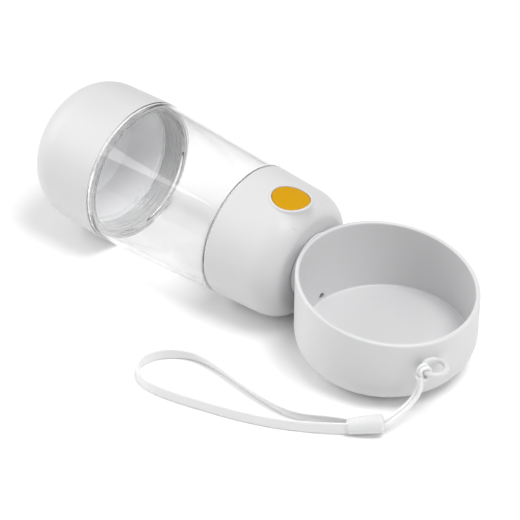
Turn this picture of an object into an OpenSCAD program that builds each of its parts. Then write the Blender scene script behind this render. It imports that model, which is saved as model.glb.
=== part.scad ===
// Dog travel water bottle, lying on its side with its drinking bowl level on the ground.
// Millimetres, +Z up, +X from the bottle towards the bowl.
// The origin is the centre of the bowl's flat foot.

/* [Bottle] */
// Outer radius of the clear tank at the base cap
tank_base_r = 36.3; // [34.5:0.1:38]
// Outer radius of the clear tank at the head
tank_head_r = 32.3; // [31:0.1:34]
// Length of clear tank that shows between the cap and the head
tank_len = 69; // [55:1:100]
// Wall thickness of the clear tank
tank_wall = 2.2; // [1.6:0.1:2.6]
// Length of the head from its rim to its end face
head_len = 35.5; // [35:0.5:40]
// Wall thickness of the head
head_wall = 2; // [1.6:0.1:2.4]
// Length of the rounding that leads to the head's end face
head_round_len = 12; // [10:0.5:13]
// Depth of that rounding, measured inwards
head_round_r = 8.5; // [6:0.5:9]
// Length of the base cap
cap_len = 45; // [38:1:55]
// Corner radius of the base cap
cap_round = 19.5; // [12:0.5:22]
// Amount by which the cap is narrower where its corner starts
cap_taper = 1.2; // [0:0.1:2]
// Wall thickness of the base cap
cap_wall = 2.2; // [1.6:0.1:2.4]

/* [Tank necks] */
// Length of the neck that screws into the head
head_neck_len = 7; // [5:0.5:8]
// Step from the tank's outside down to the neck in the head
head_neck_step = 3; // [2.6:0.1:3.4]
// Length of the neck that screws into the cap
cap_neck_len = 10; // [8:0.5:12]
// Step from the tank's outside down to the neck in the cap
cap_neck_step = 3.5; // [3:0.1:4]
// Wall thickness of both necks
neck_wall = 2.1; // [1.6:0.1:2.4]
// Radial room between a neck and the skirt that it screws into
neck_gap = 0.4; // [0.3:0.05:0.6]
// Height of the thread turns on the lower neck
thread_height = 0.25; // [0.1:0.05:0.3]
// Thickness of the two neck gaskets
gasket_thick = 1.5; // [1:0.1:2]

/* [Bowl] */
// Outer radius of the bowl at its rim
bowl_rim_r = 40; // [36:0.5:46]
// Extra outer radius at the foot, before the corner rounds it off
bowl_flare = 0.6; // [0:0.1:1.5]
// Height of the rim at the middle of the bowl
bowl_height = 40; // [36:1:48]
// Slant of the rim, higher towards the bottle, in degrees
rim_slant = 7.8; // [4:0.1:10]
// Corner radius between the bowl's wall and its foot
bowl_corner = 16; // [12:0.5:17]
// Height of the bowl's inner floor
bowl_floor_z = 8.5; // [7.5:0.1:10]
// Wall thickness at the rim
bowl_wall = 2; // [1.8:0.1:3]
// Extra wall thickness at the inner floor
bowl_wall_more = 0.9; // [0.6:0.1:1.1]
// Radius of the cover in the foot
foot_cover_r = 22; // [16:0.5:22]
// Thickness of the cover in the foot
foot_cover_thick = 1.6; // [1:0.1:2]
// Radius of the water outlet in the bowl's wall
outlet_r = 1.6; // [1.2:0.1:1.8]
// Height of the outlet above the inner floor
outlet_rise = 2.8; // [2.2:0.1:4]
// Sideways offset of the outlet
outlet_y = 3; // [0:0.5:4]

/* [Neck and swivel] */
// Radius of the round neck between the bowl and the head
neck_r = 15.5; // [13:0.5:17]
// Distance that the neck's face stands out past the rim radius
neck_proud = 1.1; // [1:0.1:1.6]
// Gap between the neck's face and the head's end face
swivel_gap = 0.3; // [0.2:0.05:0.5]
// Outer radius of the swivel spigot
spigot_r = 8; // [7.5:0.1:8.5]
// Bore radius of the swivel spigot
spigot_bore_r = 5.4; // [4.5:0.1:5.6]
// Radius of the spigot's flange
flange_r = 11; // [10:0.1:12]
// Thickness of the spigot's flange
flange_thick = 1.2; // [1:0.1:1.4]
// Radial running clearance of the spigot
swivel_clear = 0.08; // [0.03:0.01:0.1]

/* [Button and valve] */
// Half the width of the oval button, across the bottle
button_r = 7.7; // [7.5:0.1:8.5]
// Extra half length of the button, along the bottle
button_more = 1.4; // [0:0.1:1.6]
// Turn of the head and its button about the bottle's axis, in degrees
head_turn = 3.4; // [0:0.1:10]
// Distance of the button's centre from the head's end face
button_back = 11.9; // [11.5:0.1:12.5]
// Thickness of the button's crown
button_crown = 2.2; // [1.6:0.1:2.6]
// Travel of the button
button_travel = 3; // [2:0.1:3]
// Depth of the button's crown below the collar's rim
button_inset = 0.4; // [0.2:0.1:0.8]
// Radial running clearance of the button
button_clear = 0.09; // [0.05:0.01:0.1]
// Wall thickness of the collar round the button
collar_wall = 1.2; // [1:0.1:1.4]
// Height of the collar's rim above the head's side
collar_proud = 1.1; // [0.6:0.1:1.4]
// Radius of the valve stem
stem_r = 2; // [1.6:0.1:2.2]
// Outer radius of the valve housing
valve_r = 7.4; // [7.2:0.1:7.6]
// Radius of the valve seat's port
port_r = 3.2; // [2.8:0.1:3.4]
// Wire diameter of the button spring
wire_d = 1; // [0.6:0.1:1.2]
// Number of turns in the button spring
spring_turns = 5; // [4:1:7]

/* [Lanyard] */
// Width of the flat wrist strap
strap_w = 5.5; // [4:0.5:6]
// Thickness of the flat wrist strap
strap_t = 1.2; // [0.8:0.1:1.6]
// Diameter of the thin cord
cord_d = 1.7; // [1.2:0.1:1.8]
// Length of the slider bead
slider_len = 16; // [12:0.5:18]
// Radius of the slider bead
slider_r = 4; // [3.6:0.1:4.4]
// Radius of the eyelet's bar
eyelet_bar_r = 1.2; // [1:0.1:1.4]
// Radius of the eyelet's ring, at the middle of its bar
eyelet_ring_r = 4.9; // [4.5:0.1:5.5]
// Height of the eyelet above the ground
eyelet_z = 26.3; // [24:0.1:28]
// Direction of the eyelet round the bowl, in degrees
eyelet_turn = -28.5; // [-29:0.1:-28]

/* [Hidden] */
$fn = 96;

white = [0.87, 0.88, 0.89];
grey = [0.78, 0.79, 0.80];
rubber_grey = [0.55, 0.56, 0.58];
steel = [0.70, 0.71, 0.73];
cord_white = [0.92, 0.92, 0.92];

// Small gap between flat faces that meet on parts that come apart
face_gap = 0.15;
// A length that is safely past any solid that it cuts
past = 60;

// The tank is a cone that lies along its side, so its axis leans by the half-angle.
lean = atan((tank_base_r - tank_head_r) / tank_len);
face_cone_r = tank_head_r - head_len * tan(lean);
axis_z = face_cone_r * cos(lean);
neck_face_x = -(bowl_rim_r + neck_proud);
face_x = neck_face_x - swivel_gap;

// Places along the bottle's axis, measured from the head's end face
head_rim_s = -head_len;
cap_rim_s = head_rim_s - tank_len;
cap_end_s = cap_rim_s - cap_len;

// The neck in the head, its gasket and the plate that it seals against
head_neck_r = tank_head_r - head_neck_step;
head_neck_end = head_rim_s + head_neck_len;
gasket_top = head_neck_end + face_gap + gasket_thick;
plate_thick = 2.5;
plate_top = gasket_top + plate_thick;
skirt_r = head_neck_r + neck_gap;

// The neck in the cap, its gasket and the liner that it seals against
cap_neck_r = tank_base_r - cap_neck_step;
cap_neck_end = cap_rim_s - cap_neck_len;
liner_top = cap_neck_end - face_gap - gasket_thick;
liner_flange = 2;
cap_skirt_r = cap_neck_r + neck_gap;

// The valve housing stands across the axis under the button.
// Heights here are measured outwards from the bottle's axis.
button_s = -button_back;
side_r = face_cone_r - button_s * tan(lean);
collar_top = side_r + collar_proud;
collar_r = button_r + button_clear + collar_wall;
collar_flare = 1.2;
crown_top = collar_top - button_inset;
crown_under = crown_top - button_crown;
button_skirt = 5.2;
button_wall = 1.3;
skirt_bottom = crown_under - button_skirt;
well_bottom = skirt_bottom - button_travel;
chamber_r = 4.8;
inlet_chamber_r = 4.1;
housing_bottom = -15;
plug_top = -12;
seat_under = 1;
seat_top = 3.5;
inlet_h = 6.5;
inlet_top = 9.5;
ring_pocket = 13.5;
housing_top = 16;
washer_thick = 0.8;
seal_thick = 1.9;
seal_r = 4.4;
disc_thick = 1.5;
stem_bottom = -7;
stem_top = crown_under - 0.6;
outlet_h = -5;

// The spigot, its ring groove and its clip groove, along the bottle's axis
socket_bottom = -6.1;
socket_top = -3.5;
groove_low = -5.5;
groove_high = -4.1;
clip_low = -3.2;
clip_high = -2.15;
clip_gap = 0.1;

// The water duct down the bowl's wall
duct_r = 1.1;
duct_x = -(bowl_rim_r - 1.1);
duct_top = axis_z - 3;
rib_r = 2.8;
rib_x = -(bowl_rim_r - 1.5);
outlet_z = bowl_floor_z + outlet_rise;
duct_low = bowl_floor_z - 1.5;

// How far the neck and the passage in it reach into the bowl's wall
neck_reach = 12;
passage_r = 6.5;

// Screws that hold the valve body, at these turns round the axis
screw_turns = [60, 180, 300];
screw_pitch_r = 23.5;
screw_r = 1.2;
screw_len = 12;
screw_post_r = 2.8;

// Frame on the bottle's axis: z towards the bowl, x upwards
module bottle_frame() {
    translate([face_x, 0, axis_z])
        rotate([0, 90 + lean, 0])
            rotate([0, 0, 180])
                children();
}

// Frame of the head, turned about the bottle's axis
module head_frame() {
    bottle_frame()
        rotate([0, 0, head_turn])
            children();
}

// Turns a shape from the bottle's axis to the button's axis: z outwards, x along the bottle
module to_button() {
    translate([0, 0, button_s])
        rotate([0, 90, 0])
            children();
}

module button_frame() {
    head_frame()
        to_button()
            children();
}

// A cylinder between two heights
module rod(r, low, high) {
    translate([0, 0, low])
        cylinder(r = r, h = high - low);
}

// An oval rod: two half rounds with a straight stretch between them along x
module oval_rod(r, more, low, high) {
    for (side = [-1, 1])
        translate([side * more, 0, 0])
            rod(r, low, high);
    translate([-more, -r, low])
        cube([2 * more, 2 * r, high - low]);
}

// A tube between two heights
module ring(r_out, r_in, low, high) {
    difference() {
        rod(r_out, low, high);
        rod(r_in, low - 1, high + 1);
    }
}

// Radius of the bottle's cone at a place along the axis
function cone_r(s) = face_cone_r - s * tan(lean);

// Profile of the head, moved inwards by a wall
function head_profile(wall, step) = [
    for (t = [0 : step : 90])
        let (s = -head_round_len + (head_round_len - wall) * sin(t))
            [cone_r(s) - wall - head_round_r * (1 - cos(t)), s]
];

// Profile of the cap, moved inwards by a wall, from where its corner starts
function cap_profile(wall, step) = [
    for (t = [0 : step : 90])
        [
            tank_base_r - cap_taper - cap_round + (cap_round - wall) * cos(t),
            cap_end_s + cap_round - (cap_round - wall) * sin(t)
        ]
];

// Outer radius of the bowl at a height, above its corner
function bowl_r(z) = bowl_rim_r + bowl_flare * (bowl_height - z) / bowl_height;

// Inner radius of the bowl at a height
function bowl_in_r(z) = bowl_rim_r - bowl_wall
    - (bowl_wall_more - bowl_flare) * (bowl_height - z) / (bowl_height - bowl_floor_z);

module head_solid() {
    low = head_rim_s + face_gap;
    rotate_extrude()
        polygon(concat([[0, low], [cone_r(low), low]], head_profile(0, 9), [[0, 0]]));
}

// The space inside the head: a straight skirt for the neck, then the tapering chamber
module head_inside() {
    low = head_rim_s - 1;
    rotate_extrude()
        polygon(concat([[0, low], [skirt_r, low], [skirt_r, plate_top]], head_profile(head_wall, 9), [[0, -head_wall]]));
}

// Everything that the collar adds to the head, before its well is bored
module collar_solid() {
    intersection() {
        to_button() {
            oval_rod(collar_r, button_more, well_bottom, past);
            for (side = [-1, 1])
                translate([side * button_more, 0, well_bottom])
                    cylinder(r1 = collar_r + collar_flare, r2 = collar_r, h = collar_top - well_bottom - 1.5);
        }
        rod(collar_top, head_rim_s, 0);
    }
}

module head_shell() {
    color(white)
        head_frame() {
            difference() {
                union() {
                    head_solid();
                    collar_solid();
                }
                difference() {
                    head_inside();
                    to_button()
                        oval_rod(collar_r, button_more, well_bottom, past);
                }
                to_button()
                    oval_rod(button_r + button_clear, button_more, well_bottom - 1, past);
                rod(spigot_r + swivel_clear, -head_wall - 1, 1);
            }
            for (turn = screw_turns)
                rotate([0, 0, turn])
                    screw_post();
        }
}

// A post for one screw, with the rib that ties it to the side wall
module screw_post() {
    post_top = -head_round_len + 3;
    difference() {
        union() {
            translate([screw_pitch_r, 0, 0])
                rod(screw_post_r, plate_top, post_top);
            translate([screw_pitch_r, -0.8, plate_top])
                cube([cone_r(post_top) - head_wall / 2 - screw_pitch_r, 1.6, post_top - plate_top - 2]);
        }
        translate([screw_pitch_r, 0, 0])
            rod(screw_r + 0.05, plate_top - 1, plate_top + screw_len);
    }
}

module button_cap() {
    color([0.87, 0.65, 0.08])
        intersection() {
            button_frame()
                difference() {
                    oval_rod(button_r, button_more, skirt_bottom, past);
                    difference() {
                        oval_rod(button_r - button_wall, button_more, skirt_bottom - 1, crown_under);
                        rod(stem_r + 1.6, skirt_bottom, past);
                    }
                    rod(stem_r, skirt_bottom - 1, stem_top);
                }
            bottle_frame()
                rod(crown_top, cap_rim_s, past);
        }
}

module valve_stem() {
    color(white)
        button_frame() {
            rod(stem_r, stem_bottom, stem_top);
            rod(seal_r, seat_under - 0.1 - seal_thick - disc_thick, seat_under - 0.1 - seal_thick);
        }
}

module valve_seal() {
    color(rubber_grey)
        button_frame()
            ring(seal_r, stem_r, seat_under - 0.1 - seal_thick, seat_under - 0.1);
}

module stem_o_ring() {
    color(rubber_grey)
        button_frame()
            ring(stem_r + 1.9, stem_r + 0.05, ring_pocket, housing_top - 0.2);
}

module spring_washer() {
    color(steel)
        button_frame()
            ring(valve_r - 0.4, stem_r + 0.35, housing_top, housing_top + washer_thick);
}

// Points along the spring, from its washer up to the button's crown
spring_low = housing_top + washer_thick + wire_d / 2;
spring_high = crown_under - wire_d / 2;
spring_mid_r = stem_r + 3.1;
function spring_point(t) = [
    spring_mid_r * cos(360 * spring_turns * t),
    spring_mid_r * sin(360 * spring_turns * t),
    spring_low + (spring_high - spring_low) * t
];
spring_steps = 8 * spring_turns;

module button_spring() {
    color(steel)
        button_frame()
            sweep([for (i = [0 : spring_steps]) spring_point(i / spring_steps)], wire_d / 2, wire_d / 2, 6);
}

module valve_body() {
    color(grey)
        head_frame()
            difference() {
                union() {
                    rod(head_neck_r, gasket_top, plate_top);
                    to_button()
                        rod(valve_r, housing_bottom, housing_top);
                    rod(spigot_r + 2.4, socket_bottom - 3, socket_top);
                    translate([inlet_h, 0, 0])
                        rod(4.6, plate_top - 0.5, button_s - 4);
                }
                valve_bores();
                for (turn = screw_turns)
                    rotate([0, 0, turn])
                        translate([screw_pitch_r, 0, 0])
                            rod(screw_r + 0.2, gasket_top - 1, plate_top + 1);
            }
}

module valve_bores() {
    to_button() {
        rod(stem_r + 0.08, seat_under, housing_top + 1);
        rod(plug_r + 0.05, housing_bottom - 1, plug_top);
        rod(chamber_r, plug_top - 1, seat_under);
        rod(port_r, seat_under - 1, seat_top);
        rod(inlet_chamber_r, seat_top, inlet_top);
        rod(stem_r + 2, ring_pocket, housing_top + 1);
    }
    rod(spigot_r + swivel_clear, socket_bottom, socket_top + 1);
    translate([outlet_h, 0, 0])
        rod(2.7, button_s, socket_bottom + 1);
    translate([inlet_h, 0, 0])
        rod(2.8, gasket_top - 1, button_s);
    translate([inlet_h, 0, 0])
        rod(screen_r + 0.05, gasket_top - 1, gasket_top + screen_thick);
}

plug_r = 6;

module valve_plug() {
    color(grey)
        button_frame()
            difference() {
                rod(plug_r, housing_bottom, plug_top);
                translate([-0.6, -plug_r - 1, housing_bottom - 1])
                    cube([1.2, 2 * plug_r + 2, 2.2]);
            }
}

screen_r = 6;
screen_thick = 0.8;
screen_hole_r = 0.5;
screen_step = 1.8;

module inlet_screen() {
    color(steel)
        head_frame()
            translate([inlet_h, 0, 0])
                difference() {
                    rod(screen_r, gasket_top, gasket_top + screen_thick);
                    screen_holes();
                }
}

// One hole in the middle and two rings of holes round it
module screen_holes() {
    rod(screen_hole_r, gasket_top - 1, gasket_top + screen_thick + 1);
    for (k = [1 : 2])
        for (i = [0 : 6 * k - 1])
            rotate([0, 0, 60 * i / k])
                translate([screen_step * k, 0, 0])
                    rod(screen_hole_r, gasket_top - 1, gasket_top + screen_thick + 1);
}

module body_screws() {
    color(steel)
        head_frame()
            for (turn = screw_turns)
                rotate([0, 0, turn])
                    translate([screw_pitch_r, 0, 0])
                        difference() {
                            union() {
                                rod(2.2, gasket_top - 1.3, gasket_top);
                                rod(screw_r, gasket_top, plate_top + screw_len - 1);
                            }
                            translate([-1.5, -0.3, gasket_top - 2])
                                cube([3, 0.6, 1.3]);
                            translate([-0.3, -1.5, gasket_top - 2])
                                cube([0.6, 3, 1.3]);
                        }
}

module head_gasket() {
    color(rubber_grey)
        bottle_frame()
            ring(head_neck_r, head_neck_r - neck_wall, gasket_top - gasket_thick, gasket_top);
}

module tank() {
    shoulder = 2;
    color([0.86, 0.91, 0.93, 0.35])
        bottle_frame() {
            rotate_extrude()
                polygon([
                    [head_neck_r, head_neck_end],
                    [head_neck_r, head_rim_s],
                    [tank_head_r, head_rim_s],
                    [tank_base_r, cap_rim_s],
                    [cap_neck_r, cap_rim_s],
                    [cap_neck_r, cap_neck_end],
                    [cap_neck_r - neck_wall, cap_neck_end],
                    [cap_neck_r - neck_wall, cap_rim_s + shoulder],
                    [tank_base_r - tank_wall, cap_rim_s + shoulder],
                    [tank_head_r - tank_wall, head_rim_s - shoulder],
                    [head_neck_r - neck_wall, head_rim_s - shoulder],
                    [head_neck_r - neck_wall, head_neck_end]
                ]);
            for (k = [0 : 2])
                ring(cap_neck_r + thread_height, cap_neck_r - 0.5,
                    cap_rim_s - 2.4 - 2.6 * k, cap_rim_s - 1.4 - 2.6 * k);
        }
}

module base_cap() {
    color(white)
        bottle_frame() {
            difference() {
                rotate_extrude()
                    polygon(concat([[0, cap_rim_s - face_gap], [tank_base_r, cap_rim_s - face_gap]],
                        cap_profile(0, 9), [[0, cap_end_s]]));
                rotate_extrude()
                    polygon(concat([[0, cap_rim_s + 1], [cap_skirt_r, cap_rim_s + 1], [cap_skirt_r, liner_top]],
                        cap_profile(cap_wall, 9), [[0, cap_end_s + cap_wall]]));
            }
            for (i = [0 : 5])
                rotate([0, 0, 60 * i])
                    cap_rib();
        }
}

// A rib inside the cap that carries the liner's flange
module cap_rib() {
    rib_top = liner_top - liner_flange;
    rib_in = liner_r + 0.6;
    rib_low = cap_end_s + cap_round;
    rib_out = tank_base_r - cap_taper - cap_wall / 2;
    translate([rib_in, -0.75, rib_low])
        cube([rib_out - rib_in, 1.5, rib_top - rib_low]);
}

liner_r = cap_neck_r - neck_wall - 0.3;

module cap_liner() {
    color(white)
        bottle_frame()
            difference() {
                union() {
                    rod(cap_skirt_r - 0.1, liner_top - liner_flange, liner_top);
                    rod(liner_r, liner_bottom + liner_r - liner_floor_r, liner_top - 0.5);
                    translate([0, 0, liner_bottom])
                        cylinder(r1 = liner_floor_r, r2 = liner_r, h = liner_r - liner_floor_r);
                }
                rod(liner_r - 1.8, liner_bottom + liner_r - liner_floor_r, liner_top + 1);
                translate([0, 0, liner_bottom + 1.8])
                    cylinder(r1 = liner_floor_r - 0.8, r2 = liner_r - 1.8, h = liner_r - liner_floor_r - 1.8);
            }
}

liner_corner = 12;
liner_floor_r = cap_neck_r - liner_corner;
liner_bottom = cap_end_s + cap_wall + 2;

module cap_gasket() {
    color(rubber_grey)
        bottle_frame()
            ring(cap_neck_r, cap_neck_r - neck_wall, liner_top, liner_top + gasket_thick);
}

// The bowl as it is turned, with the rim not yet cut
module bowl_turned() {
    tall = bowl_height + bowl_rim_r * tan(rim_slant) + 2;
    corner_x = bowl_r(bowl_corner) - bowl_corner;
    rotate_extrude($fn = 128)
        polygon(concat(
            [[0, 0]],
            [for (t = [0 : 9 : 90]) [corner_x + bowl_corner * sin(t), bowl_corner * (1 - cos(t))]],
            [[bowl_r(tall), tall], [bowl_in_r(tall), tall], [bowl_in_r(bowl_floor_z + 1), bowl_floor_z + 1]],
            [[bowl_in_r(bowl_floor_z) - 1, bowl_floor_z], [0, bowl_floor_z]]
        ));
}

// The space inside the bowl
module bowl_space() {
    translate([0, 0, bowl_floor_z])
        cylinder(r1 = bowl_in_r(bowl_floor_z), r2 = bowl_in_r(bowl_floor_z + past), h = past);
}

module bowl() {
    color(grey) {
        difference() {
            union() {
                bowl_turned();
                difference() {
                    union() {
                        bottle_frame()
                            rod(neck_r, swivel_gap, neck_reach);
                        translate([rib_x, outlet_y, duct_low])
                            cylinder(r = rib_r, h = axis_z - neck_r - duct_low + 3);
                    }
                    bowl_space();
                }
            }
            translate([0, 0, bowl_height])
                rotate([0, rim_slant, 0])
                    translate([-past, -past, 0])
                        cube([2 * past, 2 * past, past]);
            rod(foot_cover_r + 0.1, -1, foot_cover_thick);
            rod(foot_cover_r - 1.5, -1, bowl_floor_z - 2.4);
            bottle_frame() {
                rod(flange_r + 0.05, -1, swivel_gap + flange_thick);
                rod(passage_r, -1, swivel_gap + flange_thick + 1);
            }
            translate([duct_x, outlet_y, duct_low - 1])
                cylinder(r = duct_r, h = duct_top - duct_low + 1);
            translate([duct_x, outlet_y, outlet_z])
                rotate([0, 90, 0])
                    cylinder(r = outlet_r, h = 5);
        }
        eyelet();
    }
}

// A level ring that stands out from the bowl's wall, sunk into it by a little less than its bar
eyelet_sink = 0.1;
eyelet_mid = bowl_r(eyelet_z) - eyelet_sink + eyelet_ring_r;

module eyelet() {
    rotate([0, 0, eyelet_turn])
        translate([eyelet_mid, 0, eyelet_z])
            rotate_extrude($fn = 48)
                translate([eyelet_ring_r, 0])
                    circle(r = eyelet_bar_r, $fn = 24);
}

module foot_cover() {
    color(grey)
        rod(foot_cover_r, 0, foot_cover_thick);
}

module duct_plug() {
    color(grey)
        translate([duct_x, outlet_y, 0])
            rod(duct_r, duct_low, outlet_z - outlet_r);
}

module swivel_spigot() {
    color(white)
        bottle_frame()
            difference() {
                union() {
                    rod(spigot_r, socket_bottom + 0.2, swivel_gap);
                    rod(flange_r, swivel_gap, swivel_gap + flange_thick);
                }
                rod(spigot_bore_r, socket_bottom - 1, swivel_gap + flange_thick + 1);
                ring(spigot_r + 1, spigot_r - 1.4, groove_low, groove_high);
                ring(spigot_r + 1, spigot_r - 1, clip_low - clip_gap / 2, clip_high + clip_gap / 2);
            }
}

module spigot_o_ring() {
    ring_r = (groove_high - groove_low) / 2 - 0.02;
    color(rubber_grey)
        bottle_frame()
            translate([0, 0, (groove_low + groove_high) / 2])
                rotate_extrude()
                    translate([spigot_r - 0.67, 0])
                        circle(r = ring_r, $fn = 24);
}

module swivel_clip() {
    color(steel)
        bottle_frame()
            difference() {
                ring(spigot_r + 1.7, spigot_r - 0.95, clip_low, clip_high);
                translate([-past, -4, clip_low - 1])
                    cube([past, 8, clip_high - clip_low + 2]);
            }
}

// Route of the strap: out of the slider, round the wrist loop and back into the slider
strap_route = [
    [17.6, -50.9, 3.9], [10, -54, 3.5], [3.3, -57.2, 3.1], [-3, -59.6, 2.9], [-10, -60.7, 2.9],
    [-22.5, -60.3, 2.9], [-36, -58.7, 2.9], [-47, -57.2, 2.9], [-58, -56.9, 2.9], [-65, -58.6, 2.9],
    [-71, -62.3, 2.9], [-75.6, -67.4, 2.9], [-77.6, -73, 2.9], [-76.6, -78.2, 2.9], [-73, -82.2, 2.9],
    [-67.6, -84.4, 2.9], [-60, -84.5, 2.9], [-49, -82.5, 2.9], [-38.7, -79.8, 2.9], [-28.7, -77, 2.9],
    [-20.8, -74.5, 2.9], [-12.8, -71.5, 2.9], [-4.5, -67.7, 2.9], [3.8, -63.3, 3.1], [11.6, -58.7, 3.5],
    [19.4, -53.5, 3.9]
];

// Route of the cord pair, from inside the slider up to the eyelet
cord_route = [
    [25.9, -47, 5.2], [28.4, -45.2, 5.5], [30.5, -43.4, 5.9], [31.6, -41.4, 6.6], [32.6, -39.2, 7.7],
    [33.9, -36.4, 9.3], [35.2, -33.5, 11.2], [36.3, -30.9, 13.9], [37, -29.3, 16.6], [37.3, -28.5, 19.5],
    [37.2, -28.1, 22.2], [36.6, -27.4, 24.5]
];
cord_apart = 1;

// Sweeps an oval section along points; the section's first radius is level, the second upright
module sweep(points, r_level, r_up, sides) {
    count = len(points);
    rings = [
        for (i = [0 : count - 1])
            let (
                ahead = points[min(i + 1, count - 1)] - points[max(i - 1, 0)],
                along = ahead / norm(ahead),
                level = cross([0, 0, 1], along) / norm(cross([0, 0, 1], along)),
                up = cross(along, level)
            )
                for (k = [0 : sides - 1])
                    points[i] + level * r_level * cos(360 * k / sides) + up * r_up * sin(360 * k / sides)
    ];
    faces = concat(
        [[for (k = [0 : sides - 1]) k]],
        [
            for (i = [0 : count - 2])
                for (k = [0 : sides - 1])
                    let (a = i * sides + k, b = i * sides + (k + 1) % sides)
                        each [[a, a + sides, b], [b, a + sides, b + sides]]
        ],
        [[for (k = [sides - 1 : -1 : 0]) (count - 1) * sides + k]]
    );
    polyhedron(points = rings, faces = faces, convexity = 8);
}

module lanyard_strap() {
    color(cord_white)
        sweep(strap_route, strap_t / 2, strap_w / 2, 8);
}

// Moves a route sideways by a distance, level and square to the straight line between its ends
function beside(route, d) =
    let (line = route[len(route) - 1] - route[0], side = [-line[1], line[0], 0] / norm([line[0], line[1]]))
        [for (p = route) p + side * d];

module lanyard_cord_upper() {
    color(cord_white)
        sweep(beside(cord_route, cord_apart), cord_d / 2, cord_d / 2, 8);
}

module lanyard_cord_lower() {
    color(cord_white)
        sweep(beside(cord_route, -cord_apart), cord_d / 2, cord_d / 2, 8);
}

// The bead lies with its strap end down and its cord end lifted by the cord
slider_end = [30.7, -43.5];
slider_turn = 35.4;
slider_tilt = 10;
slider_round = 1.6;
slider_narrow = 0.6;
slider_lift = slider_r - slider_narrow + slider_len * sin(slider_tilt);

module lanyard_slider() {
    color(white)
        translate([slider_end[0], slider_end[1], slider_lift])
            rotate([0, 0, slider_turn])
                rotate([0, -90 - slider_tilt, 0])
                    rotate_extrude($fn = 48)
                        polygon(concat(
                            [[0, 0]],
                            [
                                for (t = [0 : 15 : 90])
                                    [slider_r + slider_round * (sin(t) - 1), slider_round * (1 - cos(t))]
                            ],
                            [
                                for (t = [0 : 15 : 90])
                                    [
                                        slider_r - slider_narrow + slider_round * (cos(t) - 1),
                                        slider_len + slider_round * (sin(t) - 1)
                                    ]
                            ],
                            [[0, slider_len]]
                        ));
}

// The cord's two turns round the eyelet's bar and the short bight across them
hitch_turn = 90;
hitch_r = eyelet_bar_r + cord_d / 2 + 0.05;

module lanyard_hitch() {
    color(cord_white)
        rotate([0, 0, eyelet_turn])
            translate([eyelet_mid, 0, eyelet_z])
                rotate([0, 0, -hitch_turn])
                    translate([eyelet_ring_r, 0, 0])
                        rotate([90, 0, 0]) {
                            for (side = [-1, 1])
                                translate([0, 0, side * cord_d * 0.55])
                                    rotate_extrude($fn = 48)
                                        translate([hitch_r, 0])
                                            circle(r = cord_d / 2, $fn = 16);
                            rotate([0, 0, -45])
                                translate([hitch_r + cord_d * 0.95, 0, -cord_d * 1.1])
                                    cylinder(r = cord_d / 2, h = cord_d * 2.2, $fn = 16);
                        }
}

head_shell();
button_cap();
valve_stem();
valve_seal();
stem_o_ring();
spring_washer();
button_spring();
valve_body();
valve_plug();
inlet_screen();
body_screws();
head_gasket();
tank();
base_cap();
cap_liner();
cap_gasket();
bowl();
foot_cover();
duct_plug();
swivel_spigot();
spigot_o_ring();
swivel_clip();
lanyard_hitch();
lanyard_cord_upper();
lanyard_cord_lower();
lanyard_slider();
lanyard_strap();
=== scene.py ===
# %% [markdown]
# # A travel water bottle for a dog
#
# The bottle lies on its side with its drinking bowl level on the ground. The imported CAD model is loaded
# first, as a fixed frame. It is exact, but its rounded parts come in bands, so the outer mouldings are
# made again here with smooth turned meshes, and every surface gets the finish of its real material.
#
# The sizes of the pieces are in millimetres until the last step of each piece, where they are turned
# into metres. The lights are placed in metres.

# %% Load the frame
import math

import bmesh
import bpy
from mathutils import Matrix, Vector


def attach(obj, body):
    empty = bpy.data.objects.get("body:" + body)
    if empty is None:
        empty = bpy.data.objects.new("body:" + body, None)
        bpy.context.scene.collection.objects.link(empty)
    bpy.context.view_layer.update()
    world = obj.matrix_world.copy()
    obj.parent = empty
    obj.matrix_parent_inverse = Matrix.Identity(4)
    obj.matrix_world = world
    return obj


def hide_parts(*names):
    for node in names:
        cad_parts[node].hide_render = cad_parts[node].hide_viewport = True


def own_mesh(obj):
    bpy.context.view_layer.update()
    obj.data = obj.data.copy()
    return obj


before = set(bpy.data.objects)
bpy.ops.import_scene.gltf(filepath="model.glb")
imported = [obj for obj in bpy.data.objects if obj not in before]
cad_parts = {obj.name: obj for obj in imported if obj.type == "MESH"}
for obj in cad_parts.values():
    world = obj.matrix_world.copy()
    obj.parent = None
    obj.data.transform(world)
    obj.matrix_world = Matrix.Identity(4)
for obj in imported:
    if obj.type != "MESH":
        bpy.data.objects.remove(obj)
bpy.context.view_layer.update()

# %% [markdown]
# ## The camera
#
# The camera's place was worked out from the edges of the bowl's rim and foot, the tank and the head.
# Its three directions are given as unit vectors: right, up, and back towards the viewer. A long lens
# far away gives the calm perspective of a product photograph.

# %% Place the camera
MM = 0.001
FOCAL_PIXELS, PICTURE_PIXELS, SENSOR_MM = 1518.521, 520, 36
CAMERA_PLACE = Vector((289.13, -433.42, 437.18))

camera_data = bpy.data.cameras.new("product_camera")
camera_data.sensor_width = SENSOR_MM
camera_data.lens = FOCAL_PIXELS / PICTURE_PIXELS * SENSOR_MM
camera_data.clip_start = 0.01
camera = bpy.data.objects.new("product_camera", camera_data)
bpy.context.collection.objects.link(camera)
camera_right = Vector((0.7748, 0.63208, -0.01253)).normalized()
camera_back = Vector((0.51306, -0.61708, 0.59665)).normalized()
camera_up = camera_back.cross(camera_right).normalized()
camera_right = camera_up.cross(camera_back).normalized()
camera_turn = Matrix((camera_right, camera_up, camera_back)).transposed()
camera.matrix_world = Matrix.Translation(CAMERA_PLACE * MM) @ camera_turn.to_4x4()
bpy.context.scene.camera = camera
print("camera lens", round(camera_data.lens, 2), "mm")

# %% [markdown]
# ## Sizes that the pieces share
#
# The tank is a cone that lies along its side, so the bottle's axis leans by the cone's half-angle.
# Pieces of the bottle are made upright, with Z along the axis towards the bowl and X towards the
# button, and one matrix lays them down. The bowl stands on the ground, so its pieces are made in place.

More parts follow.
